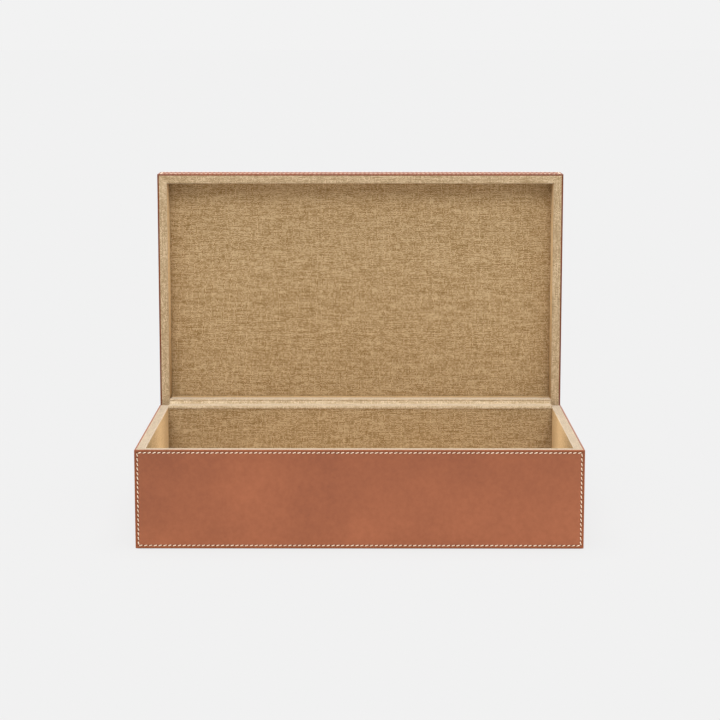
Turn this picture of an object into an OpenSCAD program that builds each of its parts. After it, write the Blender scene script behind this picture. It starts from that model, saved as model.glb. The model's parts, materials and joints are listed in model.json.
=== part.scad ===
// Stationery box: a board carcass covered in stitched leather panels and lined in linen, with a lid that turns on a
// leather hinge and is held upright by a taut linen strip.
// The origin is the middle of the underside. +X runs to the right, +Y to the back and +Z up. The lid stands open.

/* [Box] */
// Outside width, from left to right
box_w = 400; // [220:1:600]
// Outside depth of the base and of the lid, from front to back
box_d = 235; // [140:1:400]
// Height of the base, from its underside to its rim
base_h = 90; // [50:1:200]
// Height of the lid, from its rim to its top face
lid_h = 33; // [22:0.5:80]

/* [Boards] */
// Thickness of the wall boards
wall_board_t = 7; // [4:0.1:14]
// Thickness of the floor board
floor_board_t = 5; // [3:0.1:12]
// Thickness of the board in the top of the lid
top_board_t = 5; // [3:0.1:9]

/* [Coverings] */
// Thickness of the leather
leather_t = 1.6; // [1.2:0.1:2.6]
// Thickness of the linen with its backing paper
lining_t = 0.8; // [0.4:0.1:1.6]
// Thickness of the suede under the base
underside_t = 1.2; // [0.8:0.1:2.5]
// Height of the lower edge of the base's leather above what the box stands on
leather_lift = 0.5; // [0.2:0.1:0.7]

/* [Hinge] */
// Depth of the hinge line below the base's rim
hinge_drop = 5.5; // [4:0.1:12]
// Height of the hinge leather on the base, below the hinge line
hinge_leather_lap = 3; // [2:0.5:8]
// Thickness of the linen strip
strip_t = 0.5; // [0.3:0.1:1]
// Length of the linen strip down the inner face of the base's back wall
strip_base_lap = 2; // [1:0.5:10]
// Length of the linen strip along the inner face of the lid's back wall
strip_lid_lap = 11; // [4:0.5:12]
// Clearance between a hinge strip and the open lid, and at the strip's ends
strip_clear = 0.2; // [0.1:0.05:0.3]
// Clearance between the linen strip on the base's rim and the closed lid's rim
rim_clear = 0.1; // [0.1:0.1:1.5]

/* [Stitching] */
// Distance from the middle of a seam to the free edges of its panel
seam_inset = 2.7; // [2:0.1:5]
// Distance from the middle of a seam to the edge of its panel at the rim
seam_rim_inset = 2.3; // [2:0.1:4]
// Width of the thread
thread_w = 0.8; // [0.5:0.1:1.4]
// Height of the thread above the leather
thread_proud = 0.2; // [0.1:0.05:0.5]
// Depth of the groove that the thread lies in
groove_depth = 0.5; // [0.3:0.1:0.8]
// Clearance between the thread and each side of its groove
groove_clear = 0.1; // [0.05:0.05:0.3]

/* [Hidden] */
FRONT = 0;
RIGHT = 1;
BACK = 2;
LEFT = 3;
// How far a cutting shape runs past what it cuts
past = 1;
// Thickness of a finished wall
wall_t = leather_t + wall_board_t + lining_t;
// Gap between the rims when the lid is closed, which the linen strip lies in
rim_gap = strip_t + rim_clear;
// Height of the hinge line, and of the closed lid's top face
hinge_z = base_h - hinge_drop;
closed_top_z = base_h + rim_gap + lid_h;
// Place of the open lid's rim, and of the inner face of its back wall
lid_rim_y = box_d / 2 + hinge_drop + rim_gap;
lid_back_inner_z = hinge_z + wall_t;
// Upper edge of the leather on the base's back
back_leather_top = hinge_z - hinge_leather_lap;
inner_w = box_w - 2 * wall_t;
inner_d = box_d - 2 * wall_t;

LEATHER = [0.66, 0.41, 0.29];
EDGE = [0.55, 0.36, 0.23];
LINEN = [0.72, 0.60, 0.44];
STRIP = [0.84, 0.72, 0.55];
THREAD = [0.93, 0.82, 0.71];
BOARD = [0.60, 0.52, 0.42];
SUEDE = [0.45, 0.31, 0.22];

// Length of a side along its outer face, and distance from the middle of the box to that face
function side_length(side) = side % 2 == 0 ? box_w : box_d;
function side_reach(side) = (side % 2 == 0 ? box_d : box_w) / 2;

// A wall is drawn as the front one: its outer face is at y = 0 and looks towards -Y, its thickness runs towards +Y.
// Height runs from the closed face of the tray, which is the underside of the base or the top of the lid, to the rim.
module on_side(side) {
  rotate([0, 0, 90 * side])
    translate([0, -side_reach(side), 0])
      children();
}

// Turns a tray with its rim upwards into the lid, closed on the base and then swung open about the hinge line
module as_open_lid() {
  translate([0, box_d / 2, hinge_z])
    rotate([-90, 0, 0])
      translate([0, -box_d / 2, closed_top_z - hinge_z])
        mirror([0, 0, 1])
          children();
}

// Upright slab of a wall, between two depths and two heights, with its ends cut at 45 degrees for a mitred corner
module mitred_slab(side, depth_from, depth_to, z_from, z_to) {
  half = side_length(side) / 2;
  translate([0, 0, z_from])
    linear_extrude(z_to - z_from)
      polygon([
        [-half + depth_from, depth_from],
        [half - depth_from, depth_from],
        [half - depth_to, depth_to],
        [-half + depth_to, depth_to],
      ]);
}

// Wall board: the front and back ones run the full width, and the side ones stand between them
module wall_board(side, foot, tray_h) {
  shorter = side % 2 == 0 ? leather_t : leather_t + wall_board_t;
  length = side_length(side) - 2 * shorter;
  translate([-length / 2, leather_t, foot])
    cube([length, wall_board_t, tray_h - lining_t - foot]);
}

// Board that closes a tray, between its wall boards
module closing_board(foot, thickness) {
  length = box_w - 2 * (leather_t + wall_board_t);
  width = box_d - 2 * (leather_t + wall_board_t);
  translate([-length / 2, -width / 2, foot])
    cube([length, width, thickness]);
}

// Linen on a wall: down its inner face from the rim, and over the top of the board
module wall_lining(side, foot, tray_h) {
  mitred_slab(side, leather_t + wall_board_t, wall_t, foot, tray_h);
  mitred_slab(side, leather_t, wall_t, tray_h - lining_t, tray_h);
}

// Linen on the floor of a tray, between the wall linings
module panel_lining(foot) {
  translate([-inner_w / 2, -inner_d / 2, foot])
    cube([inner_w, inner_d, lining_t]);
}

// Rectangular loop that follows the four edges of an upright panel
module seam_loop(length, z_from, z_to, rim_inset, width, depth_from, depth_to) {
  outer_l = length - 2 * seam_inset + width;
  z_low = z_from + seam_inset - width / 2;
  z_high = z_to - rim_inset + width / 2;
  translate([0, depth_to, 0])
    rotate([90, 0, 0])
      linear_extrude(depth_to - depth_from)
        difference() {
          translate([-outer_l / 2, z_low])
            square([outer_l, z_high - z_low]);
          translate([-outer_l / 2 + width, z_low + width])
            square([outer_l - 2 * width, z_high - z_low - 2 * width]);
        }
}

// Groove for the thread of one panel
module seam_groove(length, z_from, z_to, rim_inset) {
  seam_loop(length, z_from, z_to, rim_inset, thread_w + 2 * groove_clear, -past, groove_depth);
}

// Thread of one panel, seated on the bottom of its groove
module seam_thread(length, z_from, z_to, rim_inset) {
  seam_loop(length, z_from, z_to, rim_inset, thread_w, -thread_proud, groove_depth);
}

// Upper edge of the leather on a side of the base
function base_leather_top(side) = side == BACK ? back_leather_top : base_h;

module base_board(side) {
  color(BOARD)
    on_side(side)
      difference() {
        wall_board(side, underside_t, base_h);
        if (side == BACK) {
          // Rebate for the linen that turns down the back to the hinge leather
          translate([-box_w, leather_t - past, hinge_z + leather_t])
            cube([2 * box_w, lining_t + past, base_h]);
        }
      }
}

module base_floor_board() {
  color(BOARD)
    closing_board(underside_t, floor_board_t);
}

module base_leather(side) {
  top = base_leather_top(side);
  color(LEATHER)
    on_side(side)
      difference() {
        mitred_slab(side, 0, leather_t, leather_lift, top);
        seam_groove(side_length(side), leather_lift, top, seam_rim_inset);
      }
}

module base_stitching(side) {
  color(THREAD)
    on_side(side)
      seam_thread(side_length(side), leather_lift, base_leather_top(side), seam_rim_inset);
}

module base_lining(side) {
  color(LINEN)
    on_side(side) {
      wall_lining(side, underside_t + floor_board_t, base_h);
      if (side == BACK) {
        // The turned-down edge, above the hinge leather
        mitred_slab(side, leather_t, leather_t + lining_t, hinge_z + leather_t, base_h);
      }
    }
}

module base_floor_lining() {
  color(LINEN)
    panel_lining(underside_t + floor_board_t);
}

module base_underside_cover() {
  length = box_w - 2 * leather_t;
  width = box_d - 2 * leather_t;
  color(SUEDE)
    translate([-length / 2, -width / 2, 0])
      cube([length, width, underside_t]);
}

module lid_board(side) {
  color(BOARD)
    as_open_lid()
      on_side(side)
        wall_board(side, leather_t, lid_h);
}

module lid_top_board() {
  color(BOARD)
    as_open_lid()
      closing_board(leather_t, top_board_t);
}

// A side panel of the lid is mitred at its corners and along the edge of the top
module lid_leather(side) {
  length = side_length(side);
  color(LEATHER)
    as_open_lid()
      on_side(side)
        difference() {
          intersection() {
            mitred_slab(side, 0, leather_t, 0, lid_h);
            rotate([90, 0, 90])
              linear_extrude(length, center = true)
                polygon([[0, 0], [leather_t, leather_t], [leather_t, lid_h], [0, lid_h]]);
          }
          seam_groove(length, 0, lid_h, seam_rim_inset);
        }
}

module lid_stitching(side) {
  color(THREAD)
    as_open_lid()
      on_side(side)
        seam_thread(side_length(side), 0, lid_h, seam_rim_inset);
}

// Turns an upright panel drawn as a wall into the top face of the lid
module as_lid_top() {
  as_open_lid()
    rotate([90, 0, 0])
      translate([0, 0, -box_d / 2])
        children();
}

module lid_top_leather() {
  color(LEATHER)
    as_lid_top()
      difference() {
        intersection() {
          mitred_slab(FRONT, 0, leather_t, 0, box_d);
          rotate([90, 0, 90])
            linear_extrude(box_w, center = true)
              polygon([[0, 0], [leather_t, leather_t], [leather_t, box_d - leather_t], [0, box_d]]);
        }
        seam_groove(box_w, 0, box_d, seam_inset);
      }
}

module lid_top_stitching() {
  color(THREAD)
    as_lid_top()
      seam_thread(box_w, 0, box_d, seam_inset);
}

module lid_lining(side) {
  color(LINEN)
    as_open_lid()
      on_side(side)
        wall_lining(side, leather_t + top_board_t, lid_h);
}

module lid_panel_lining() {
  color(LINEN)
    as_open_lid()
      panel_lining(leather_t + top_board_t);
}

// Leather on the outside of the joint: up the base's back, round the hinge line and along to the lid's rim
module hinge_leather() {
  lid_end = lid_rim_y - strip_clear;
  color(EDGE) {
    on_side(BACK)
      mitred_slab(BACK, 0, leather_t, back_leather_top, hinge_z);
    translate([-box_w / 2 + leather_t, 0, 0])
      rotate([90, 0, 90])
        linear_extrude(box_w - 2 * leather_t) {
          translate([box_d / 2, hinge_z])
            square([lid_end - box_d / 2, leather_t]);
          // Quarter round where the leather bends
          intersection() {
            translate([box_d / 2, hinge_z])
              circle(r = leather_t, $fn = 48);
            translate([box_d / 2 - leather_t, hinge_z])
              square(leather_t);
          }
        }
  }
}

// Linen strip: from the base's inner back face over the rim, across to the lid and along its inner face
module hinge_linen() {
  length = inner_w - 2 * strip_clear;
  rim_in = inner_d / 2;
  rim_out = box_d / 2 - leather_t;
  lid_z = lid_back_inner_z + strip_clear;
  lid_y = lid_rim_y - strip_clear;
  color(STRIP)
    translate([-length / 2, 0, 0])
      rotate([90, 0, 90])
        linear_extrude(length)
          polygon([
            [rim_in - strip_t, base_h - strip_base_lap],
            [rim_in, base_h - strip_base_lap],
            [rim_in, base_h],
            [rim_out, base_h],
            [lid_y, lid_z],
            [lid_rim_y + strip_lid_lap, lid_z],
            [lid_rim_y + strip_lid_lap, lid_z + strip_t],
            [lid_y, lid_z + strip_t],
            [rim_out, base_h + strip_t],
            [rim_in - strip_t, base_h + strip_t],
          ]);
}

base_board(FRONT);  // base_front_board
base_board(RIGHT);  // base_right_board
base_board(BACK);  // base_back_board
base_board(LEFT);  // base_left_board
base_floor_board();
base_leather(FRONT);  // base_front_leather
base_leather(RIGHT);  // base_right_leather
base_leather(BACK);  // base_back_leather
base_leather(LEFT);  // base_left_leather
base_underside_cover();
base_lining(FRONT);  // base_front_lining
base_lining(RIGHT);  // base_right_lining
base_lining(BACK);  // base_back_lining
base_lining(LEFT);  // base_left_lining
base_floor_lining();
base_stitching(FRONT);  // base_front_stitching
base_stitching(RIGHT);  // base_right_stitching
base_stitching(BACK);  // base_back_stitching
base_stitching(LEFT);  // base_left_stitching
lid_board(FRONT);  // lid_front_board
lid_board(RIGHT);  // lid_right_board
lid_board(BACK);  // lid_back_board
lid_board(LEFT);  // lid_left_board
lid_top_board();
lid_leather(FRONT);  // lid_front_leather
lid_leather(RIGHT);  // lid_right_leather
lid_leather(BACK);  // lid_back_leather
lid_leather(LEFT);  // lid_left_leather
lid_top_leather();
lid_lining(FRONT);  // lid_front_lining
lid_lining(RIGHT);  // lid_right_lining
lid_lining(BACK);  // lid_back_lining
lid_lining(LEFT);  // lid_left_lining
lid_panel_lining();
lid_stitching(FRONT);  // lid_front_stitching
lid_stitching(RIGHT);  // lid_right_stitching
lid_stitching(BACK);  // lid_back_stitching
lid_stitching(LEFT);  // lid_left_stitching
lid_top_stitching();
hinge_leather();
hinge_linen();
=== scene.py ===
# %% [markdown]
# # A stitched leather stationery box
# The real box is a fibreboard carcass. Tan leather panels cover it outside, each with its own cream saddle
# stitch all round, and natural linen lines it inside and runs over the rims. The lid turns on a leather
# strap outside and is held upright by a taut linen strip inside. The carcass, joint and sizes come from
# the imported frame, and this lesson dresses it: every piece that shows is modelled here, over the solid
# that it stands for.

# %% Load the frame
import json
import math
import bpy
import bmesh
from mathutils import Matrix, Vector

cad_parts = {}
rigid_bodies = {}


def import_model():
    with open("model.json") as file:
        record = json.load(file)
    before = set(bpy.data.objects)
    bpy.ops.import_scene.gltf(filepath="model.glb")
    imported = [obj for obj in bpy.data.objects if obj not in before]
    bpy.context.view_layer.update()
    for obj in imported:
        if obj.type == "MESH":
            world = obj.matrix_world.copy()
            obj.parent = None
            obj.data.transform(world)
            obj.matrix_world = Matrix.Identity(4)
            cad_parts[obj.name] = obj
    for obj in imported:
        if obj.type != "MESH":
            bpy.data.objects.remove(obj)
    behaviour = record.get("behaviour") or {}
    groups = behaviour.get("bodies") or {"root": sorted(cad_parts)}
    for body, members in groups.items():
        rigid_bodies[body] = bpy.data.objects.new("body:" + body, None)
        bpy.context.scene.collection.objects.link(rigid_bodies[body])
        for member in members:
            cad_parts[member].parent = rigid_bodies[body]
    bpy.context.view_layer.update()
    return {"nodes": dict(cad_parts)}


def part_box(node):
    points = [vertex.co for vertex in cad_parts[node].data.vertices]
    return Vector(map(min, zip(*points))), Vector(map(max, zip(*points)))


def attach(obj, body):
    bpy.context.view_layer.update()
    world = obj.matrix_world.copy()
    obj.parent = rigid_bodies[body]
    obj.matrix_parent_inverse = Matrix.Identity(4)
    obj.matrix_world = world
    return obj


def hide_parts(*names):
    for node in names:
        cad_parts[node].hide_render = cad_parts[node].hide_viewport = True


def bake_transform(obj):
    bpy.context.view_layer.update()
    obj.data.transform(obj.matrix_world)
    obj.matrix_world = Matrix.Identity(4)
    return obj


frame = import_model()

# %% [markdown]
# All the sizes follow from a few boxes of the frame. A wall is modelled as the front one: x runs along it,
# its outer face is at y = 0 and looks towards -Y, and z runs from the closed face of the tray to its rim.
# Working in that one place keeps each function short. A matrix then puts the finished wall on its side of
# the base or of the open lid.

# %% Sizes from the frame
MM = 0.001
NEAR = 0.001 * MM
low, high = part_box("base_front_leather")
outer_w = high.x - low.x
base_h = high.z
leather_t = high.y - low.y
leather_lift = low.z
outer_d = -2 * low.y
low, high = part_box("base_front_lining")
lining_foot = low.z
wall_t = outer_d / 2 + high.y
low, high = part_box("base_floor_lining")
lining_t = high.z - low.z
low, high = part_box("lid_front_leather")
lid_h = high.y - low.y
lid_rim_y = low.y
lid_top_z = high.z
hinge_z = lid_top_z - outer_d
back_leather_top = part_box("base_back_leather")[1].z
rim_gap = lid_rim_y - outer_d / 2 - (base_h - hinge_z)
lid_lining_foot = lid_rim_y + lid_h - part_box("lid_panel_lining")[1].y
sides = ("front", "right", "back", "left")
FRONT, RIGHT, BACK, LEFT = range(4)
print("wall", round(wall_t / MM, 2), "mm, leather", round(leather_t / MM, 2), "mm")
print("hinge line at", round(hinge_z / MM, 1), "mm above the table")

# %% [markdown]
# ## Where a wall and a tray go
# A finished wall is turned about the middle of its tray to its side. The lid is a tray too. It is modelled
# with its rim upwards and then moved to where the frame has the open lid, so base and lid share every
# function.


# %% Matrices of walls and trays
def side_length(side):
    """Outer length of one side of the box."""
    return outer_w if side in (FRONT, BACK) else outer_d


def wall_matrix(side):
    """Puts a wall that was modelled at the front on its side of the tray."""
    reach = (outer_d if side in (FRONT, BACK) else outer_w) / 2
    return Matrix.Rotation(math.radians(90 * side), 4, "Z") @ Matrix.Translation((0, -reach, 0))


# A tray with its rim upwards becomes the open lid in three moves: it is turned over, set on the base and
# swung about the hinge
turn_over = Matrix.Rotation(math.pi, 4, "Y")
set_on_base = Matrix.Translation((0, -outer_d / 2, base_h + rim_gap + lid_h - hinge_z))
swing_open = Matrix.Translation((0, outer_d / 2, hinge_z)) @ Matrix.Rotation(-math.pi / 2, 4, "X")
tray_matrix = {"base": Matrix.Identity(4), "lid": swing_open @ set_on_base @ turn_over}
lid_sides = {FRONT: "front", RIGHT: "left", BACK: "back", LEFT: "right"}
print("rim of the open lid at y =", round((tray_matrix["lid"] @ Vector((0, 0, lid_h))).y / MM, 1), "mm")

# %% [markdown]
# ## Camera
# The photograph is taken with a long lens from a little above the rim, so the front stays square and one
# sees over the rim onto the back wall. Its angle, distance and focal length come from fitting the box's
# corners.

# %% Camera
camera_away = 1.818
camera_height = 0.4447
camera_pitch = 8.57
camera_turn = 0.16
camera_right = 0.0055
camera_lens = 104.39
sensor_width = 36
camera_data = bpy.data.cameras.new("camera")
camera_data.lens = camera_lens
camera_data.sensor_width = sensor_width
camera = bpy.data.objects.new("camera", camera_data)
bpy.context.scene.collection.objects.link(camera)
camera.location = (camera_right, -outer_d / 2 - camera_away, camera_height)
camera.rotation_euler = (math.radians(90 - camera_pitch), 0, math.radians(camera_turn))
bpy.context.scene.camera = camera
print("camera", camera_lens, "mm,", camera_pitch, "degrees down")

# %% [markdown]
# ## Helpers for modelling
# Everything is made by hand tools: a primitive at its size and place, then edit mode. The hand tools act
# on what is selected, so one helper starts a piece with nothing else selected, and two pick faces or edges
# by a test.


# %% Start and pick
def start(name, size, place, kind="cube"):
    """Adds a cube or a plane of that size, as a new piece in edit mode."""
    if bpy.context.mode != "OBJECT":
        bpy.ops.object.mode_set(mode="OBJECT")
    bpy.ops.object.select_all(action="DESELECT")
    if kind == "plane":
        bpy.ops.mesh.primitive_plane_add(size=1, location=place)
    else:
        bpy.ops.mesh.primitive_cube_add(size=1, location=place)
    piece = bpy.context.object
    piece.name = name
    piece.data.name = name
    piece.scale = size
    bpy.ops.object.transform_apply(location=True, rotation=True, scale=True)
    bpy.ops.object.mode_set(mode="EDIT")
    return piece


def pick(piece, kind, test):
    """Selects the faces, edges or vertices that pass a test and returns how many."""
    bpy.ops.mesh.select_mode(type=kind.rstrip("s").upper())
    bpy.ops.mesh.select_all(action="DESELECT")
    mesh = bmesh.from_edit_mesh(piece.data)
    found = [e for e in getattr(mesh, kind) if test(e)]
    for element in found:
        element.select_set(True)
    mesh.select_flush_mode()
    bmesh.update_edit_mesh(piece.data)
    return len(found)


def both(edge, test):
    """True if both ends of an edge pass."""
    return all(test(v.co) for v in edge.verts)


# %% [markdown]
# ## Helpers for cutting, finishing and placing
# A plane cuts a piece where a knife would. Leaving edit mode turns all the faces outwards and shades them
# smooth up to an angle, so bevels look round and corners stay crisp. The finished piece is put in its
# place and gets its materials and its body, and the solid that it stands for is hidden.


# %% Cut, finish and place
def cut(place, normal):
    """Cuts the whole piece with a plane, drops what lies past it and closes the cut."""
    bpy.ops.mesh.select_all(action="SELECT")
    bpy.ops.mesh.bisect(plane_co=place, plane_no=normal, use_fill=True, clear_outer=True)


def mitre_ends(half):
    """Cuts both ends of a wall at 45 degrees, for a mitred corner."""
    cut((-half, 0, 0), (-1, 1, 0))
    cut((half, 0, 0), (1, 1, 0))


def leave_edit(angle=35):
    """Back to object mode, with outward normals and smooth shading up to an angle."""
    bpy.ops.mesh.select_all(action="SELECT")
    bpy.ops.mesh.remove_doubles(threshold=2 * NEAR)
    bpy.ops.mesh.normals_make_consistent(inside=False)
    bpy.ops.object.mode_set(mode="OBJECT")
    bpy.ops.object.shade_smooth_by_angle(angle=math.radians(angle))


def put(piece, matrix):
    """Moves a finished piece to its place and applies that, so its object stays at the origin."""
    bpy.ops.object.select_all(action="DESELECT")
    piece.select_set(True)
    bpy.context.view_layer.objects.active = piece
    piece.matrix_world = matrix
    bpy.ops.object.transform_apply(location=True, rotation=True, scale=True)


def cover(piece, *materials):
    """Gives a piece its material slots, in this order."""
    for material in materials:
        piece.data.materials.append(material)


def mount(piece, body, node):
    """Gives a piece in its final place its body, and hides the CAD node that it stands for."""
    if body:
        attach(piece, body)
    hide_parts(node)


# %% [markdown]
# ## Helpers for materials
# Colours are written as sRGB hex, as one reads them off a picture, and one function turns them linear. One
# function adds a node with its settings and links.


# %% Colour and nodes
def linear(code):
    """sRGB hex to linear colour."""
    values = [int(code[i:i + 2], 16) / 255 for i in (1, 3, 5)]
    return tuple(v / 12.92 if v <= 0.04045 else ((v + 0.055) / 1.055) ** 2.4 for v in values) + (1.0,)


def node_adder(tree):
    """The function that adds a node to this tree, with its settings, its colour stops and its links."""
    def add(kind, settings=None, links=None):
        node = tree.nodes.new(kind)
        for key, value in (settings or {}).items():
            if key == "stops":
                first, *between, last = value
                ramp = node.color_ramp.elements
                ramp[0].position, ramp[1].position = first[0], last[0]
                ramp[0].color, ramp[1].color = linear(first[1]), linear(last[1])
                for position, tone in between:
                    ramp.new(position).color = linear(tone)
            elif isinstance(key, int) or key in node.inputs:
                node.inputs[key].default_value = value
            else:
                setattr(node, key, value)
        for socket, source in (links or {}).items():
            tree.links.new(source, node.inputs[socket])
        return node

    return add


def new_material(name):
    """A new material, its shader, the function that adds a node and one that feeds the shader."""
    material = bpy.data.materials.new(name)
    material.use_nodes = True
    tree = material.node_tree
    shader = tree.nodes["Principled BSDF"]
    add = node_adder(tree)

    def feed(socket, source):
        tree.links.new(source, shader.inputs[socket])

    return material, shader, add, feed


print("mid grey is", round(linear("#808080")[0], 3), "in linear light")

# %% [markdown]
# ## Vegetable-tanned leather
# The panels are smooth cowhide, tanned with bark and dyed through: a warm tan with soft clouds where the
# hide took the dye unevenly, 20 to 80 mm across, and a close grain of pores. A light wax leaves it satin.
# The cut edges are burnished, darker and more orange. The border between the seam and the edge is painted
# darker and more orange too: painted shade of its rounded edge and of the pressed line.


# %% Leather materials
def tanned_leather(name, deep, middle, bright, roughness):
    """Leather from three shades of one dye, with clouds of colour, painted floor light at the foot, wax
    marks and pores.
    """
    material, shader, add, feed = new_material(name)
    where = add("ShaderNodeTexCoord").outputs["Object"]
    # The largest clouds are 70 mm across, and the flecks in them 4 mm
    clouds = add("ShaderNodeTexNoise", {"Scale": 1 / (70 * MM), "Detail": 5.0, "Roughness": 0.62},
                 {"Vector": where})
    speckle = add("ShaderNodeTexNoise", {"Scale": 1 / (4 * MM), "Detail": 3.0, "Roughness": 0.6},
                  {"Vector": where})
    blend = add("ShaderNodeMix", {0: 0.36}, {2: clouds.outputs[0], 3: speckle.outputs[0]})
    # Painted light: up to 90 mm above the table the leather is painted paler towards the foot, for light
    # bounced up off the floor. The lid above keeps the darkest end of that shift.
    place = add("ShaderNodeSeparateXYZ", links={0: where})
    painted_floor_light = add("ShaderNodeMapRange", {1: 0.0, 2: 0.09, 3: 0.1, 4: -0.12}, {0: place.outputs["Z"]})
    toned = add("ShaderNodeMath", {"operation": "ADD"}, {0: blend.outputs[0], 1: painted_floor_light.outputs[0]})
    tones = ((0.29, deep), (0.5, middle), (0.71, bright))
    ramp = add("ShaderNodeValToRGB", {"stops": tones}, {"Fac": toned.outputs[0]})
    feed("Base Color", ramp.outputs["Color"])
    # Pores are about 0.3 mm apart on the hide. They are drawn 1.1 mm apart, or the camera would not
    # see them.
    pores = add("ShaderNodeTexVoronoi", {"Scale": 1 / (1.1 * MM), "Randomness": 1.0}, {"Vector": where})
    grain = add("ShaderNodeTexNoise", {"Scale": 1 / (2.5 * MM), "Detail": 5.0, "Roughness": 0.65},
                {"Vector": where})
    relief = add("ShaderNodeMix", {0: 0.5}, {2: pores.outputs["Distance"], 3: grain.outputs[0]})
    bump = add("ShaderNodeBump", {"Strength": 0.35, "Distance": 0.12 * MM}, {"Height": relief.outputs[0]})
    feed("Normal", bump.outputs[0])
    # The wax is rubbed in unevenly, so the gloss changes with the clouds
    wax = add("ShaderNodeMapRange", {1: 0.3, 2: 0.7, 3: roughness - 0.06, 4: roughness + 0.06},
              {0: clouds.outputs[0]})
    feed("Roughness", wax.outputs[0])
    shader.inputs["IOR"].default_value = 1.46
    shader.inputs["Specular IOR Level"].default_value = 0.35
    return material


leather = tanned_leather("vegetable_tanned_leather", "#8C5034", "#99593A", "#A66241", 0.52)
# Painted shade: the border between the seam and the edge gets this darker, more orange copy of the leather,
# for the shade of the rounded edge and the pressed line. The hinge leather is all of this copy too.
darker_leather = tanned_leather("darker_leather_of_borders_and_hinge", "#804423", "#8A4B29", "#945330", 0.48)
leather_edge = tanned_leather("burnished_leather_edge", "#8A451F", "#9D542A", "#B06437", 0.42)
# The cut edges of the lid get darker tones than those of the base
lid_edge = tanned_leather("darker_leather_edge_of_lid", "#6A3210", "#7C3D15", "#8E4A1C", 0.42)
print("leathers:", [m.name for m in (leather, darker_leather, leather_edge, lid_edge)])

# %% [markdown]
# ## Natural linen
# The lining is undyed flax in a plain weave, glued to the board. Flax spins into uneven threads, so the
# eye sees slubs: short thick lengths, 5 to 20 mm long, that run lighter or darker along the weft, and
# weaker ones along the warp. On the rims the linen is a paler copy with a whiter sheen, as painted light
# of the overhead lamp on the rims of the base, which face up. The weave must run with the cloth round each
# turn, so it is drawn on the UV map, which every lining piece gets in metres of cloth.


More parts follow.
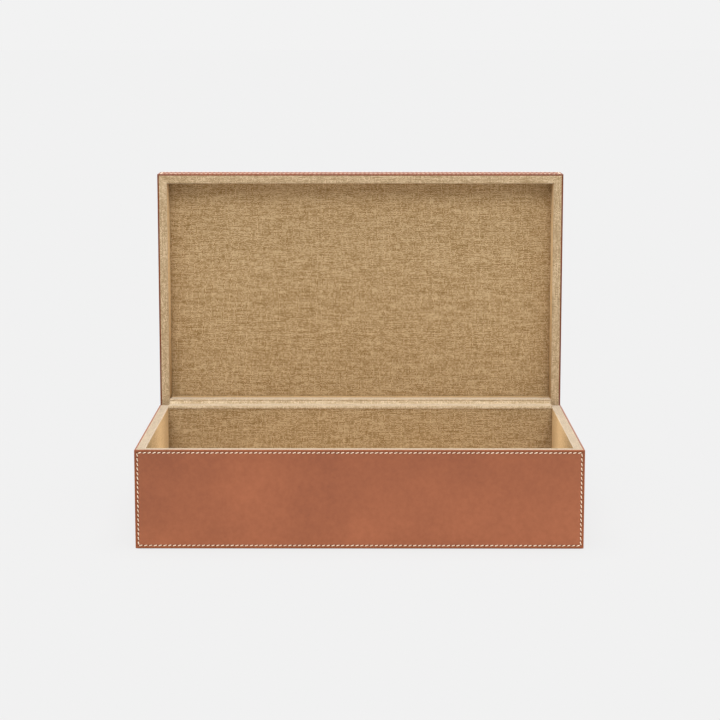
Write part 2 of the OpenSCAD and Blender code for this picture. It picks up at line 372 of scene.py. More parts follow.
# %% Linen materials
def linen(name, dark, middle, light, fuzz_tone, fuzz_amount, contrast):
    """Plain-weave linen from three shades, on a UV map in metres."""
    material, shader, add, feed = new_material(name)
    cloth = add("ShaderNodeUVMap", {"uv_map": "cloth"}).outputs[0]

    # The threads are about 0.7 mm apart. They are drawn 1 to 1.2 mm apart, about one pixel of the
    # picture, or the camera would not see them.
    weft_pitch = 1.0 * MM
    warp_pitch = 1.2 * MM
    fine_step = 0.02 * MM
    # Painted shade of the relief: the tone rises by this much at the top of a thread, and by 0.56 of it on
    # average
    painted_relief_shade = 0.34
    centre = 0.5 + 0.56 * painted_relief_shade
    half_span = 0.25 / contrast

    def along_threads(step, scale):
        snap = add("ShaderNodeVectorMath", {"operation": "SNAP", 1: (*step, 1)}, {0: cloth})
        stretch = add("ShaderNodeMapping", {"Scale": (*scale, 1)}, {"Vector": snap.outputs[0]})
        noise = add("ShaderNodeTexNoise",
                    {"noise_dimensions": "2D", "Scale": 1.0, "Detail": 2.0, "Roughness": 0.6},
                    {"Vector": stretch.outputs[0]})
        return noise.outputs[0]

    # Slubs are up to 22 mm long in the weft and 12 mm in the warp, and no two threads are alike
    weft = along_threads((fine_step, weft_pitch), (1 / (22 * MM), 2.7 / weft_pitch))
    warp = along_threads((warp_pitch, fine_step), (2.7 / warp_pitch, 1 / (12 * MM)))
    # In a plain weave the weft lies on top at every second crossing, and the warp at the others.
    # Under the warp some of the weft still shows.
    steps = add("ShaderNodeMapping", {"Scale": (1 / warp_pitch, 1 / weft_pitch, 1)}, {"Vector": cloth})
    on_top = add("ShaderNodeTexChecker", {"Scale": 1.0}, {"Vector": steps.outputs[0]})
    warp_on_top = add("ShaderNodeMix", {0: 0.35}, {2: warp, 3: weft})
    slubs = add("ShaderNodeMix", links={0: on_top.outputs["Fac"], 2: weft, 3: warp_on_top.outputs[0]})
    cells = add("ShaderNodeVectorMath", {"operation": "SNAP", 1: (warp_pitch, weft_pitch, 1)}, {0: cloth})
    crossing = add("ShaderNodeTexWhiteNoise", {"noise_dimensions": "2D"}, {"Vector": cells.outputs[0]})
    tone = add("ShaderNodeMix", {0: 0.28}, {2: slubs.outputs[0], 3: crossing.outputs["Value"]})
    # The thread on top is round across its width and long over the crossing. Its tone is painted darker
    # towards its sides: partly the board that shows in the gap, partly painted shade of the round thread.
    waves = add("ShaderNodeVectorMath",
                {"operation": "MULTIPLY", 1: (math.pi / warp_pitch, math.pi / weft_pitch, 0)},
                {0: cloth})
    waves = add("ShaderNodeVectorMath", {"operation": "SINE"}, {0: waves.outputs[0]})
    waves = add("ShaderNodeVectorMath", {"operation": "ABSOLUTE"}, {0: waves.outputs[0]})
    halves = add("ShaderNodeSeparateXYZ", links={0: waves.outputs[0]})
    weft_turn = add("ShaderNodeMapRange", {3: 0.25, 4: 0.9}, {0: on_top.outputs["Fac"]})
    warp_turn = add("ShaderNodeMapRange", {3: 0.9, 4: 0.25}, {0: on_top.outputs["Fac"]})
    in_x = add("ShaderNodeMath", {"operation": "POWER"}, {0: halves.outputs["X"], 1: weft_turn.outputs[0]})
    in_y = add("ShaderNodeMath", {"operation": "POWER"}, {0: halves.outputs["Y"], 1: warp_turn.outputs[0]})
    cushion = add("ShaderNodeMath", {"operation": "MULTIPLY"}, {0: in_x.outputs[0], 1: in_y.outputs[0]})
    total = add("ShaderNodeMath", {"operation": "MULTIPLY_ADD", 1: painted_relief_shade},
                {0: cushion.outputs[0], 2: tone.outputs[0]})
    tones = ((centre - half_span, dark), (centre, middle), (centre + half_span, light))
    ramp = add("ShaderNodeValToRGB", {"stops": tones}, {"Fac": total.outputs[0]})
    feed("Base Color", ramp.outputs["Color"])
    bump = add("ShaderNodeBump", {"Strength": 0.4, "Distance": 0.09 * MM}, {"Height": cushion.outputs[0]})
    feed("Normal", bump.outputs[0])
    shader.inputs["Roughness"].default_value = 0.9
    shader.inputs["Specular IOR Level"].default_value = 0.2
    shader.inputs["Sheen Weight"].default_value = fuzz_amount
    shader.inputs["Sheen Roughness"].default_value = 0.5
    shader.inputs["Sheen Tint"].default_value = linear(fuzz_tone)
    return material


linen_lining = linen("natural_linen_lining", "#886A3D", "#B09268", "#D0B68F", "#FFDCA8", 0.88, 1.15)
# Painted light: the rims get a paler copy of the lining with a whiter sheen, for the overhead lamp on rims
# that face up
rim_linen_painted_light = linen("linen_rim_painted_paler", "#93784F", "#B49A76", "#D8C09D", "#FFF6EA", 1.0, 1.05)
linen_strip = linen("linen_hinge_strip", "#A58B65", "#C8B08D", "#EAD7B8", "#FFF4E4", 1.0, 1.0)
print("linens:", [m.name for m in (linen_lining, rim_linen_painted_light, linen_strip)])

# %% [markdown]
# ## Thread and needle holes
# The seams are sewn with cream waxed linen thread, a two-ply twist with a soft shine. Each hole is made
# with an awl. At the end of each stitch a small dark cone is set in it, as the painted shade of the hole.

# %% Thread and needle holes
# Two plies twisted and drawn through wax: a cream line with a soft shine and a faint twist
thread, shader, add, feed = new_material("waxed_linen_thread")
where = add("ShaderNodeTexCoord").outputs["Object"]
# One twist of this thread takes about 1 mm, and its tone changes at that length
ply = add("ShaderNodeTexNoise", {"Scale": 1 / (1.0 * MM), "Detail": 2.0}, {"Vector": where})
ramp = add("ShaderNodeValToRGB", {"stops": ((0.3, "#EAD2B6"), (0.6, "#FBEDD4"))}, {"Fac": ply.outputs[0]})
feed("Base Color", ramp.outputs["Color"])
bump = add("ShaderNodeBump", {"Strength": 0.3, "Distance": 0.1 * MM}, {"Height": ply.outputs[0]})
feed("Normal", bump.outputs[0])
shader.inputs["Roughness"].default_value = 0.55

# Painted shade: a dark, dull plug stands for the shade inside each needle hole
hole_shade_plug, shader, add, feed = new_material("needle_hole_painted_shade")
where = add("ShaderNodeTexCoord").outputs["Object"]
hole_shade_mottle = add("ShaderNodeTexNoise", {"Scale": 1 / (3 * MM)}, {"Vector": where})
ramp = add("ShaderNodeValToRGB", {"stops": ((0.0, "#3C2114"), (1.0, "#5C3522"))}, {"Fac": hole_shade_mottle.outputs[0]})
feed("Base Color", ramp.outputs["Color"])
shader.inputs["Roughness"].default_value = 0.9

print("thread:", thread.name, "and", hole_shade_plug.name)

# %% [markdown]
# ## Board and suede
# The carcass is grey-brown fibreboard, pressed from wood fibre. The underside is brown suede, the napped
# flesh side of a hide, quite matt. Both are rarely seen, so a noise or two is enough for each.

# %% Board and suede
# Wood fibre pressed wet: grey-brown flecks and a dull, slightly hairy face
board, shader, add, feed = new_material("pressed_fibreboard")
where = add("ShaderNodeTexCoord").outputs["Object"]
# Bundles of fibre are about 1.5 mm long
fibre = add("ShaderNodeTexNoise", {"Scale": 1 / (1.5 * MM), "Detail": 6.0, "Roughness": 0.7},
            {"Vector": where})
ramp = add("ShaderNodeValToRGB", {"stops": ((0.3, "#7A6753"), (0.7, "#A08B72"))}, {"Fac": fibre.outputs[0]})
feed("Base Color", ramp.outputs["Color"])
bump = add("ShaderNodeBump", {"Strength": 0.4, "Distance": 0.2 * MM}, {"Height": fibre.outputs[0]})
feed("Normal", bump.outputs[0])
shader.inputs["Roughness"].default_value = 0.85

# The flesh side, napped: it takes the light softly and shows where it was brushed
suede, shader, add, feed = new_material("brown_suede")
where = add("ShaderNodeTexCoord").outputs["Object"]
# Tufts of the nap are about 1.2 mm wide, and brushing leaves clouds 60 mm wide
nap = add("ShaderNodeTexNoise", {"Scale": 1 / (1.2 * MM), "Detail": 4.0, "Roughness": 0.7},
          {"Vector": where})
brushed = add("ShaderNodeTexNoise", {"Scale": 1 / (60 * MM), "Detail": 3.0}, {"Vector": where})
blend = add("ShaderNodeMix", {0: 0.5}, {2: nap.outputs[0], 3: brushed.outputs[0]})
ramp = add("ShaderNodeValToRGB", {"stops": ((0.35, "#7A5238"), (0.65, "#96694B"))},
           {"Fac": blend.outputs[0]})
feed("Base Color", ramp.outputs["Color"])
bump = add("ShaderNodeBump", {"Strength": 0.5, "Distance": 0.3 * MM}, {"Height": nap.outputs[0]})
feed("Normal", bump.outputs[0])
shader.inputs["Roughness"].default_value = 0.95
shader.inputs["Sheen Weight"].default_value = 0.3
print(len(bpy.data.materials), "materials")

# %% [markdown]
# ## Leather panels
# Each panel is a flat piece of 1.6 mm hide, cut to size, with its edges rounded off and rubbed, and a
# shallow line pressed round it for the seam to lie in. At the corners the panels meet in a mitre, as the
# solids do. One function makes them all: a cube at its size, ends cut at 45 degrees, the outer rim
# bevelled, and four insets for the line.

# %% Make a panel
edge_round = 0.6 * MM
seam_inset = 2.7 * MM
seam_rim_inset = 2.6 * MM
line_width = 1.5 * MM
line_depth = 0.35 * MM
line_slope = 0.3 * MM
print("seam", round(seam_inset / MM, 1), "mm from the edge, in a line", round(line_width / MM, 1), "mm wide")


def leather_panel(name, length, z_from, z_to, rim_inset, mitred_foot=False, mitred_top=False):
    """A panel as the front wall of a tray, with its outer face at y = 0."""
    height = z_to - z_from
    piece = start(name, (length, leather_t, height), (0, leather_t / 2, z_from + height / 2))
    mitre_ends(length / 2)
    if mitred_foot:
        cut((0, 0, z_from), (0, 1, -1))
    if mitred_top:
        cut((0, 0, z_to), (0, 1, 1))
    pick(piece, "edges", lambda e: both(e, lambda v: abs(v.y) < NEAR))
    bpy.ops.mesh.bevel(offset=edge_round, offset_type="OFFSET", segments=4, profile=0.55, affect="EDGES")
    pick(piece, "faces", lambda f: f.normal.y < -0.9999 and f.calc_area() > 0.3 * length * height)
    bpy.ops.mesh.inset(thickness=seam_inset - line_width / 2 - edge_round)
    bpy.ops.mesh.inset(thickness=line_slope, depth=-line_depth)
    bpy.ops.mesh.inset(thickness=line_width - 2 * line_slope)
    bpy.ops.mesh.inset(thickness=line_slope, depth=line_depth)
    # The line along the rim edge is a little nearer to the edge than the others
    top_line = z_to - seam_inset
    pick(piece, "verts", lambda v: abs(v.co.z - top_line) < 0.6 * line_width and v.co.y < leather_t / 2)
    bpy.ops.transform.translate(value=(0, 0, seam_inset - rim_inset))
    leave_edit(40)
    return piece


def finish_panel(piece, length, z_from, z_to):
    """Finishes of a panel: slot 0 is the field, 1 the border outside the seam, painted darker as shade, 2
    the edges.
    """
    band = seam_inset - line_width / 2
    for face in piece.data.polygons:
        centre = face.center
        from_edge = min(length / 2 - abs(centre.x), centre.z - z_from, z_to - centre.z)
        # Edges take slot 2. The border outside the seam takes the darker copy, which is painted shade.
        if face.normal.y > -0.75 and from_edge < 1.2 * edge_round:
            face.material_index = 2
        elif from_edge < band and centre.y < 0.6 * leather_t:
            face.material_index = 1


# %% [markdown]
# ## The leather of the base
# Four panels stand round the base. The back one stops lower, where the hinge leather begins. Each panel
# replaces its plain solid from the frame.

# %% Base panels
for side in range(4):
    name = "base_" + sides[side] + "_leather"
    top = back_leather_top if side == BACK else base_h
    length = side_length(side)
    piece = leather_panel(name + "_panel", length, leather_lift, top, seam_rim_inset)
    cover(piece, leather, darker_leather, leather_edge)
    finish_panel(piece, length, leather_lift, top)
    put(piece, tray_matrix["base"] @ wall_matrix(side))
    mount(piece, "base", name)
panels = [o for o in bpy.data.objects if o.name.endswith("_panel")]
print("base panels:", [len(o.data.polygons) for o in panels], "faces")

# %% [markdown]
# ## The leather of the lid
# The side panels of the lid are mitred at the corners and also along the edge of the top. The top panel is
# drawn standing, like a wall as tall as the box is deep, and is then laid on the lid. Its hinge edge is
# cut square.

# %% Lid panels
lay_on_top = Matrix.Translation((0, outer_d / 2, 0)) @ Matrix.Rotation(math.pi / 2, 4, "X")
for side in range(4):
    name = "lid_" + lid_sides[side] + "_leather"
    length = side_length(side)
    piece = leather_panel(name + "_panel", length, 0, lid_h, seam_rim_inset, mitred_foot=True)
    cover(piece, leather, darker_leather, lid_edge)
    finish_panel(piece, length, 0, lid_h)
    put(piece, tray_matrix["lid"] @ wall_matrix(side))
    mount(piece, "lid", name)
piece = leather_panel("lid_top_leather_panel", outer_w, 0, outer_d, seam_inset,
                      mitred_foot=True, mitred_top=True)
cover(piece, leather, darker_leather, lid_edge)
finish_panel(piece, outer_w, 0, outer_d)
put(piece, tray_matrix["lid"] @ lay_on_top)
mount(piece, "lid", "lid_top_leather")
print("lid:", round(lid_h / MM, 1), "mm high, top", round(outer_w / MM), "x", round(outer_d / MM), "mm")

# %% [markdown]
# ## Saddle stitching
# The seams are sewn by hand with one thread and two needles, so every stitch leans the same way: up to the
# right on a level seam. A stitch shows about 3.4 mm of thread and dives into a needle hole at each end.
# One stitch is modelled from a six-sided cylinder whose ends are drawn down and thinned, and one hole from
# a shallow cone. Modifiers of the Array kind repeat them along an edge, and the four edges are joined into
# one seam per panel.

# %% One stitch and its hole
stitch_pitch = 4.3 * MM
hole_gap = 0.95 * MM
thread_w = 0.85 * MM
thread_seat = 0.2 * MM
stitch_lean = 18
# The rings of the thread, as shares of its half length, and at its ends how far each ring is drawn
# down, in thread widths, and how thin it gets
ring_places = (-0.76, -0.44, 0.44, 0.76)
drawn_rings = ((-1.0, 0.42, 0.5), (-0.76, 0.14, 0.88), (0.76, 0.14, 0.88), (1.0, 0.42, 0.5))
hole_mouth = 0.5 * MM
hole_tip = 0.2 * MM
hole_depth = 0.4 * MM
hair = 0.02 * MM


def make_stitch():
    """One stitch along X with its middle at the origin, and the hole at its end, seen from -Y."""
    half = (stitch_pitch - hole_gap) / 2
    piece = start("stitch", (1, 1, 1), (0, 0, 0))
    bpy.ops.mesh.select_all(action="SELECT")
    bpy.ops.mesh.delete(type="VERT")
    bpy.ops.mesh.primitive_cylinder_add(vertices=6, radius=thread_w / 2, depth=2 * half,
                                        rotation=(0, math.pi / 2, 0))
    for reach in ring_places:
        bpy.ops.mesh.select_all(action="SELECT")
        bpy.ops.mesh.bisect(plane_co=(reach * half, 0, 0), plane_no=(1, 0, 0))
    for reach, sink, thickness in drawn_rings:
        pick(piece, "verts", lambda v: abs(v.co.x - reach * half) < 1e-5)
        bpy.ops.transform.resize(value=(1, thickness, thickness))
        bpy.ops.transform.translate(value=(0, sink * thread_w, 0))
    bpy.ops.mesh.select_all(action="SELECT")
    bpy.ops.transform.rotate(value=math.radians(stitch_lean), orient_axis="Y", center_override=(0, 0, 0))
    bpy.ops.mesh.select_all(action="DESELECT")
    hole_front = line_depth - hair - thread_seat
    bpy.ops.mesh.primitive_cone_add(vertices=6, radius1=hole_mouth, radius2=hole_tip, depth=hole_depth,
                                    location=(stitch_pitch / 2, hole_front + hole_depth / 2, 0),
                                    rotation=(-math.pi / 2, 0, 0))
    leave_edit(60)
    cover(piece, thread, hole_shade_plug)
    # The cone takes the painted shade of the needle hole
    for face in piece.data.polygons:
        face.material_index = int(face.center.x > half + hair)
    return piece


stitch = make_stitch()
print("one stitch:", len(stitch.data.polygons), "faces")

# %% [markdown]
# ## Seams
# A seam runs along all four edges of its panel. The pitch is evened out a little along each edge, so that
# whole stitches fit between two corners, as they are marked out on the bench.


# %% Sew a seam round each panel
def seam(name, length, z_from, z_to, rim_inset):
    """The four runs of stitches of one panel, drawn as for a front wall."""
    half = length / 2 - seam_inset
    z_low = z_from + seam_inset
    z_high = z_to - rim_inset
    corners = [Vector((-half, thread_seat, z_low)), Vector((half, thread_seat, z_low)),
               Vector((half, thread_seat, z_high)), Vector((-half, thread_seat, z_high))]
    runs = []
    for turn in range(4):
        first, last = corners[turn], corners[(turn + 1) % 4]
        count = round((last - first).length / stitch_pitch)
        pitch = (last - first).length / count
        run = stitch.copy()
        run.data = stitch.data.copy()
        bpy.context.scene.collection.objects.link(run)
        bpy.ops.object.select_all(action="DESELECT")
        run.select_set(True)
        bpy.context.view_layer.objects.active = run
        repeat = run.modifiers.new("repeat", "ARRAY")
        repeat.count = count
        repeat.use_relative_offset = False
        repeat.use_constant_offset = True
        repeat.constant_offset_displace = (pitch, 0, 0)
        bpy.ops.object.modifier_apply(modifier="repeat")
        turned = Matrix.Rotation(-turn * math.pi / 2, 4, "Y")
        put(run, Matrix.Translation(first) @ turned @ Matrix.Translation((pitch / 2, 0, 0)))
        runs.append(run)
    bpy.ops.object.select_all(action="DESELECT")
    for run in runs:
        run.select_set(True)
    bpy.context.view_layer.objects.active = runs[0]
    bpy.ops.object.join()
    runs[0].name = name
    runs[0].data.name = name
    return runs[0]

# %% [markdown]
# ## All the seams
# The base has four seams, one to each panel, and the lid has five. The stitch that they are copied from
# goes at the end.

# %% Seams of the base and the lid
for side in range(4):
    node = "base_" + sides[side] + "_stitching"
    top = back_leather_top if side == BACK else base_h
    piece = seam(node + "_seam", side_length(side), leather_lift, top, seam_rim_inset)
    put(piece, tray_matrix["base"] @ wall_matrix(side))
    mount(piece, "base", node)
    node = "lid_" + lid_sides[side] + "_stitching"
    piece = seam(node + "_seam", side_length(side), 0, lid_h, seam_rim_inset)
    put(piece, tray_matrix["lid"] @ wall_matrix(side))
    mount(piece, "lid", node)
piece = seam("lid_top_stitching_seam", outer_w, 0, outer_d, seam_inset)
put(piece, tray_matrix["lid"] @ lay_on_top)
mount(piece, "lid", "lid_top_stitching")
bpy.data.objects.remove(stitch)
seams = [o for o in bpy.data.objects if o.name.endswith("_seam")]
print(len(seams), "seams:", sum(len(o.data.polygons) for o in seams), "faces")

# %% [markdown]
# ## Linen over the walls and rims
# Each wall has one strip of linen, glued down the inner face, over the rim and up to the leather. It is
# modelled as cloth is laid: a plane on the rim, extruded down the wall, with the turn bevelled to the soft
# radius that glued linen takes, then given its thickness. The strip of the back wall also turns down
# outside, over the hinge. The strips meet in mitres at the corners. UVs are in metres along the cloth, so
# the weave follows the turn.

# %% Cloth helpers
turn_radius = 1.1 * MM
print("linen turns over the rim with a radius of", round(turn_radius / MM, 1), "mm")


def thicken(piece, thickness, face_way):
    """Turns a sheet so its largest face looks along face_way, and thickens it behind that face."""
    largest = max(piece.data.polygons, key=lambda f: f.area)
    if largest.normal.dot(Vector(face_way)) < 0:
        bpy.ops.object.mode_set(mode="EDIT")
        bpy.ops.mesh.select_all(action="SELECT")
        bpy.ops.mesh.flip_normals()
        bpy.ops.object.mode_set(mode="OBJECT")
    solidify = piece.modifiers.new("thickness", "SOLIDIFY")
    solidify.thickness = thickness
    solidify.offset = -1
    solidify.use_even_offset = True
    bpy.ops.object.modifier_apply(modifier="thickness")


def lay_cloth(piece, to_cloth):
    """Writes the UV map in metres of cloth, from a point's place."""
    if "cloth" not in piece.data.uv_layers:
        piece.data.uv_layers.new(name="cloth")
    for other in [u for u in piece.data.uv_layers if u.name != "cloth"]:
        piece.data.uv_layers.remove(other)
    layer = piece.data.uv_layers["cloth"]
    for loop in piece.data.loops:
        layer.data[loop.index].uv = to_cloth(piece.data.vertices[loop.vertex_index].co)


# %% [markdown]
# ## One strip of wall linen
# The sheet starts as the part on the rim. Its inner edge is pulled down the wall, and on the back wall the
# outer edge too. The turn is made round by a bevel before the sheet gets its thickness, so the cloth keeps
# the same thickness round it.


# %% Strip of one wall
def wall_linen(name, side, tray_h, foot, outer_foot=None):
    """The strip of linen of one wall, drawn at the front."""
    length = side_length(side)
    rim_width = wall_t - leather_t
    piece = start(name, (length, rim_width, 1), (0, leather_t + rim_width / 2, tray_h), kind="plane")
    pick(piece, "edges", lambda e: both(e, lambda v: abs(v.y - wall_t) < NEAR))
    bpy.ops.mesh.extrude_region_move(TRANSFORM_OT_translate={"value": (0, 0, foot - tray_h)})
    if outer_foot is not None:
        pick(piece, "edges", lambda e: both(e, lambda v: abs(v.y - leather_t) < NEAR))
        bpy.ops.mesh.extrude_region_move(TRANSFORM_OT_translate={"value": (0, 0, outer_foot - tray_h)})
    pick(piece, "edges", lambda e: len(e.link_faces) == 2 and both(e, lambda v: abs(v.z - tray_h) < NEAR))
    bpy.ops.mesh.bevel(offset=turn_radius, offset_type="OFFSET", segments=5, affect="EDGES")
    bpy.ops.object.mode_set(mode="OBJECT")
    rim_is_largest = rim_width > tray_h - foot
    thicken(piece, lining_t, (0, 0, 1) if rim_is_largest else (0, 1, 0))
    bpy.ops.object.mode_set(mode="EDIT")
    mitre_ends(length / 2)
    leave_edit(50)
    return piece


def finish_wall_linen(piece, tray_h, cut_from):
    """UVs and materials of a strip: slot 0 on the wall, slot 1, painted paler as light, on the rim."""
    def to_cloth(point):
        down = tray_h - point.z
        if point.y < leather_t + lining_t + 0.1 * MM and down > turn_radius:
            return (point.x + cut_from, leather_t - down)
        return (point.x + cut_from, point.y + down)
    lay_cloth(piece, to_cloth)
    # The faces on the rim take the paler copy, which is painted light
    for face in piece.data.polygons:
        face.material_index = int(face.center.z > tray_h - 0.6 * turn_radius)

# %% [markdown]
# ## Linings of the walls
# There are four strips in the base and four in the lid. Each is cut from its own place of the bolt, so no
# two of them show the same slubs.


# %% Wall linings of the base and the lid
trays = (("base", base_h, lining_foot, sides), ("lid", lid_h, lid_lining_foot, lid_sides))
cut_from = {"base": 0.0, "lid": 3.3}
cut_apart = 0.7
for side in range(4):
    for body, tray_h, foot, names in trays:
        node = body + "_" + names[side] + "_lining"
        outer_foot = hinge_z + leather_t if body == "base" and side == BACK else None
        piece = wall_linen(node + "_cloth", side, tray_h, foot, outer_foot)
        cover(piece, linen_lining, rim_linen_painted_light)
        finish_wall_linen(piece, tray_h, cut_apart * side + cut_from[body])
        put(piece, tray_matrix[body] @ wall_matrix(side))
        mount(piece, body, node)
        cloth_width = wall_t - leather_t + tray_h - foot
        if outer_foot is not None:
            cloth_width += tray_h - outer_foot
        print(node, "cut to", round(cloth_width / MM, 1), "mm wide")

# %% [markdown]
# ## Linen on the floor and in the lid
# These are flat panels of the same linen, turned over a card, so their edges are soft and a fine shadow
# line shows where they meet the walls. Each is a cube at its size whose edges are bevelled.

# %% Flat linen panels
panel_gap = 0.05 * MM
card_round = 0.5 * MM
field_inset = 4 * MM
panel_cut_from = 9.1


def flat_linen(name, foot):
    """A panel of linen between the walls of a tray."""
    length = outer_w - 2 * (wall_t + panel_gap)
    width = outer_d - 2 * (wall_t + panel_gap)
    piece = start(name, (length, width, lining_t), (0, 0, foot + lining_t / 2))
    pick(piece, "edges", lambda e: both(e, lambda v: v.z > foot + lining_t / 2)
         or abs(e.verts[0].co.z - e.verts[1].co.z) > NEAR)
    bpy.ops.mesh.bevel(offset=card_round, segments=4, affect="EDGES")
    pick(piece, "faces", lambda f: f.normal.z > 0.999)
    bpy.ops.mesh.inset(thickness=field_inset)
    leave_edit(50)
    return piece, length, width


flat_panels = (("base", lining_foot, "base_floor_lining"), ("lid", lid_lining_foot, "lid_panel_lining"))
for body, foot, node in flat_panels:
    piece, length, width = flat_linen(node + "_cloth", foot)
    cover(piece, linen_lining)
    lay_cloth(piece, lambda point: (point.x + panel_cut_from + foot, point.y))
    put(piece, tray_matrix[body])
    mount(piece, body, node)
    print(node, round(length / MM, 1), "x", round(width / MM, 1), "mm")

# %% [markdown]
# ## Hinge linen
# Inside, a separate strip of linen runs from the back wall of the base over its rim to the back wall of
# the lid. It is pulled taut when the lid stands upright and holds it there. It is hemmed at the rim of the
# base, lies flat over the gap between the two rims, and rises at the rim of the lid with a crease and a
# small roll. It is extruded along its path from one edge and given its thickness.

# %% Path of the strip
low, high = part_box("hinge_linen")
strip_t = 0.5 * MM
# The cloth itself takes this share of the strip's thickness, and its waves have the rest
cloth_share = 0.7
strip_cut_from = 5.7
strip_half = high.x
base_rim = base_h + strip_t
lid_floor = high.z
strip_end = high.y
inner_back = outer_d / 2 - wall_t
cloth_y = inner_back - strip_t
# From the hem inside the base to the end on the lid's lining, as y and z
path = [
    (cloth_y, low.z),
    (cloth_y, base_h - 0.7 * MM),
    (cloth_y + 0.1 * MM, base_h - 0.35 * MM),
    (cloth_y + 0.5 * MM, base_h - 0.1 * MM),
    (cloth_y + 0.4 * MM, base_h + 0.2 * MM),
    (cloth_y + 0.8 * MM, base_rim),
    (inner_back + 4.0 * MM, base_rim + 0.1 * MM),
    (outer_d / 2 - leather_t, base_rim),
    (lid_rim_y - 3.4 * MM, base_rim + 0.1 * MM),
    (lid_rim_y - 2.2 * MM, base_rim + 0.5 * MM),
    (lid_rim_y - 1.8 * MM, base_rim + 1.2 * MM),
    (lid_rim_y - 1.7 * MM, lid_floor - 1.8 * MM),
    (lid_rim_y - 1.4 * MM, lid_floor - 1.4 * MM),
    (lid_rim_y - 0.85 * MM, lid_floor - 1.2 * MM),
    (lid_rim_y - 0.75 * MM, lid_floor - 0.95 * MM),
    (lid_rim_y - 0.8 * MM, lid_floor - 0.75 * MM),
    (lid_rim_y - 1.3 * MM, lid_floor - 0.6 * MM),
    (lid_rim_y - 1.4 * MM, lid_floor - 0.3 * MM),
    (lid_rim_y - 1.0 * MM, lid_floor - 0.05 * MM),
    (lid_rim_y, lid_floor),
    (lid_rim_y + 5.0 * MM, lid_floor + 0.05 * MM),
    (strip_end - 0.4 * MM, lid_floor),
    (strip_end, lid_floor - 0.25 * MM),
]
print("path of", len(path), "points")

# %% [markdown]
# ## The strip along its path
# One edge of cloth is pulled from point to point of the path, as if unrolled, and the sheet then gets its
# thickness. The UVs count the length along the path.

# %% Strip across the hinge
piece = start("hinge_linen_cloth", (2 * strip_half, 1, 1), (0, 0, 0), kind="plane")
pick(piece, "verts", lambda v: v.co.y > 0)
bpy.ops.mesh.delete(type="VERT")
pick(piece, "verts", lambda v: True)
bpy.ops.transform.translate(value=(0, path[0][0] + 0.5, path[0][1]))
for before, after in zip(path, path[1:]):
    move = (0, after[0] - before[0], after[1] - before[1])
    bpy.ops.mesh.extrude_region_move(TRANSFORM_OT_translate={"value": move})
leave_edit(60)
thicken(piece, cloth_share * strip_t, (0, -0.5, 1))
arc = [0.0]
for before, after in zip(path, path[1:]):
    arc.append(arc[-1] + math.dist(before, after))


def along_strip(point):
    """Distance along the path of the strip to the nearest point of it."""
    best = min(range(len(path)), key=lambda i: math.dist(path[i], (point.y, point.z)))
    return (point.x + strip_cut_from, arc[best])


cover(piece, linen_strip)
lay_cloth(piece, along_strip)
bpy.ops.object.shade_smooth_by_angle(angle=math.radians(60))
mount(piece, None, "hinge_linen")
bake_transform(piece)
print("strip cut to", round(2 * strip_half / MM), "x", round(arc[-1] / MM, 1), "mm")

# %% [markdown]
# ## Hinge leather
# Outside, a strip of the same hide joins the back panel to the lid and bends on the hinge line. Its outer
# face folds to a sharp inner corner there when the lid stands open, and lies flat when it is shut. The
# path follows its inner face: a plane, a spin of 90 degrees about the hinge line and an extrusion. The
# thickness then grows outwards.

# %% Strip that bends on the hinge line
low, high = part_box("hinge_leather")
hinge_y = outer_d / 2
inner_face = hinge_y - leather_t
bend_steps = 8
skived = 0.12 * MM
end_gap = 0.2 * MM
hem_round = 0.4 * MM
piece = start("hinge_leather_strip", (outer_w - 2 * leather_t, 1, 1), (0, 0, 0), kind="plane")
pick(piece, "verts", lambda v: v.co.y > 0)
bpy.ops.mesh.delete(type="VERT")
pick(piece, "verts", lambda v: True)
bpy.ops.transform.translate(value=(0, inner_face + 0.5, low.z))
bpy.ops.mesh.extrude_region_move(TRANSFORM_OT_translate={"value": (0, 0, hinge_z - low.z)})
for step in range(1, bend_steps + 1):
    before = math.radians(90 * (step - 1) / bend_steps)
    after = math.radians(90 * step / bend_steps)
    outwards = leather_t * (math.cos(before) - math.cos(after))
    upwards = leather_t * (math.sin(after) - math.sin(before))
    move = (0, outwards, upwards)
    bpy.ops.mesh.extrude_region_move(TRANSFORM_OT_translate={"value": move})
bpy.ops.mesh.extrude_region_move(TRANSFORM_OT_translate={"value": (0, high.y - hinge_y, 0)})
leave_edit(50)
# The thickness grows towards the hinge line, so the largest face has to look away from it. The strip
# is skived a little thinner than the panels.
thicken(piece, leather_t - skived, (0, -1, 1))
bpy.ops.object.mode_set(mode="EDIT")
# The strip starts as wide as the space between the side panels. Its outer face below the hinge line
# is widened to the sides of the box, less a hair at each end.
pick(piece, "verts", lambda v: abs(v.co.x) > outer_w / 2 - 2 * leather_t
     and hinge_y - 0.2 * MM < v.co.y < hinge_y + 0.05 * MM and v.co.z < hinge_z + 0.05 * MM)
widen = (outer_w - end_gap) / (outer_w - 2 * leather_t)
bpy.ops.transform.resize(value=(widen, 1, 1), center_override=(0, 0, 0))
pick(piece, "edges", lambda e: abs(e.verts[0].co.x - e.verts[1].co.x) > 0.1
     and both(e, lambda v: v.z < low.z + 0.1 * MM or v.y > high.y - 0.1 * MM))
bpy.ops.mesh.bevel(offset=hem_round, segments=3, affect="EDGES")
leave_edit(50)
cover(piece, darker_leather, leather_edge)
mount(piece, None, "hinge_leather")
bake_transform(piece)
print("hinge leather:", len(piece.data.polygons), "faces")

# %% [markdown]
# ## Underside
# The box stands on a sheet of suede glued under the floor board. Its cut edge is a little rounded by its
# nap. The boards of the carcass keep their solids and only get the look of fibreboard.

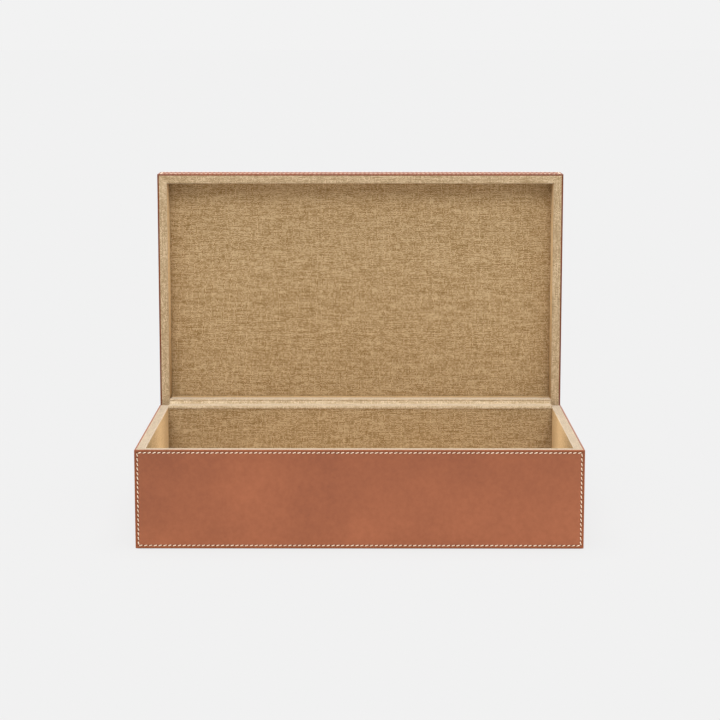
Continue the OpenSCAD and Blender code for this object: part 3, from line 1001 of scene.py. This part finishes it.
# %% Suede sheet and boards
low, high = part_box("base_underside_cover")
cut_edge_round = 0.35 * MM
middle_inset = 5 * MM
piece = start("base_underside_cover_suede", high - low, (low + high) / 2)
pick(piece, "edges", lambda e: True)
bpy.ops.mesh.bevel(offset=cut_edge_round, segments=3, affect="EDGES")
pick(piece, "faces", lambda f: abs(f.normal.z) > 0.999)
bpy.ops.mesh.inset(thickness=middle_inset)
leave_edit(50)
cover(piece, suede)
mount(piece, "base", "base_underside_cover")
boards = [node for node in frame["nodes"] if node.endswith("_board")]
for node in boards:
    for slot in bpy.data.objects[node].material_slots:
        slot.material = board
print(len(boards), "boards finished")

# %% [markdown]
# ## Lamps
# The photograph is a plain studio shot: a big soft lamp in front and above, an even fill from all round,
# and more light from overhead, so faces that look up are brighter. Lamps of the Sun kind with a wide angle
# give that softness at the same level everywhere, so the floor stays one even tone up to the horizon.

# %% Lamps
key_strength = 1.50
key_elevation = 36
key_angle = 34
overhead_strength = 3.2
overhead_angle = 60


def sun(name, strength, elevation, angle):
    """A soft parallel lamp in the middle plane, that shines from the front at that elevation."""
    data = bpy.data.lights.new(name, "SUN")
    data.energy = strength
    data.angle = math.radians(angle)
    lamp = bpy.data.objects.new(name, data)
    lamp.rotation_euler = (math.radians(90 - elevation), 0, 0)
    bpy.context.scene.collection.objects.link(lamp)


sun("key_softbox", key_strength, key_elevation, key_angle)
sun("overhead_softbox", overhead_strength, 90, overhead_angle)
print("lamps:", key_strength, "in front and", overhead_strength, "overhead")

# %% [markdown]
# ## Background
# The world has two jobs. It fills the shadows with an even white light, and where the camera looks past
# the box it shows the plain light grey of the photograph. Which of the two a ray gets depends on its kind.

# %% Background
background = "#F2F2F2"
fill_tone = "#FFFFFF"
fill_strength = 0.27


def seen_plainly(add):
    """1 for rays of the camera, also by way of gloss or glass, and 0 for rays that carry light."""
    ray = add("ShaderNodeLightPath")
    seen = add("ShaderNodeMath", {"operation": "MAXIMUM"},
               {0: ray.outputs["Is Camera Ray"], 1: ray.outputs["Is Glossy Ray"]})
    seen = add("ShaderNodeMath", {"operation": "MAXIMUM"},
               {0: seen.outputs[0], 1: ray.outputs["Is Transmission Ray"]})
    return seen.outputs[0]


world = bpy.data.worlds.new("studio")
bpy.context.scene.world = world
world.use_nodes = True
tree = world.node_tree
add = node_adder(tree)
fill = tree.nodes["Background"]
fill.inputs["Color"].default_value = linear(fill_tone)
fill.inputs["Strength"].default_value = fill_strength
plain = add("ShaderNodeBackground", {"Color": linear(background)})
mixed = add("ShaderNodeMixShader", links={0: seen_plainly(add), 1: fill.outputs[0], 2: plain.outputs[0]})
tree.links.new(mixed.outputs[0], tree.nodes["World Output"].inputs["Surface"])
print("fill of", fill_strength, "all round, background", background)

# %% [markdown]
# ## Floor
# The box stands on matt paper. For the camera the floor mixes its own shaded colour with the plain
# background tone, which keeps a faint shadow under the box and hides the horizon.

# %% Floor
floor_tone = "#D9D9D9"
floor_size = 400
even_share = 0.9
even_strength = 0.965
floor = start("studio_floor", (floor_size, floor_size, 1), (0, 0, 0), kind="plane")
leave_edit()
# Matt paper has no gloss, so only its own tone and the soft shadow show
paper, shader, add, feed = new_material("matt_paper_floor")
shader.inputs["Base Color"].default_value = linear(floor_tone)
shader.inputs["Roughness"].default_value = 1.0
shader.inputs["Specular IOR Level"].default_value = 0.0
share = add("ShaderNodeMath", {"operation": "MULTIPLY", 1: even_share}, {0: seen_plainly(add)})
even = add("ShaderNodeEmission", {"Color": linear(background), "Strength": even_strength})
mixed = add("ShaderNodeMixShader", links={0: share.outputs[0], 1: shader.outputs[0], 2: even.outputs[0]})
output = paper.node_tree.nodes["Material Output"]
paper.node_tree.links.new(mixed.outputs[0], output.inputs["Surface"])
cover(floor, paper)
bpy.context.scene.view_settings.view_transform = "Standard"
print("floor", floor_size, "m wide, view", bpy.context.scene.view_settings.view_transform)
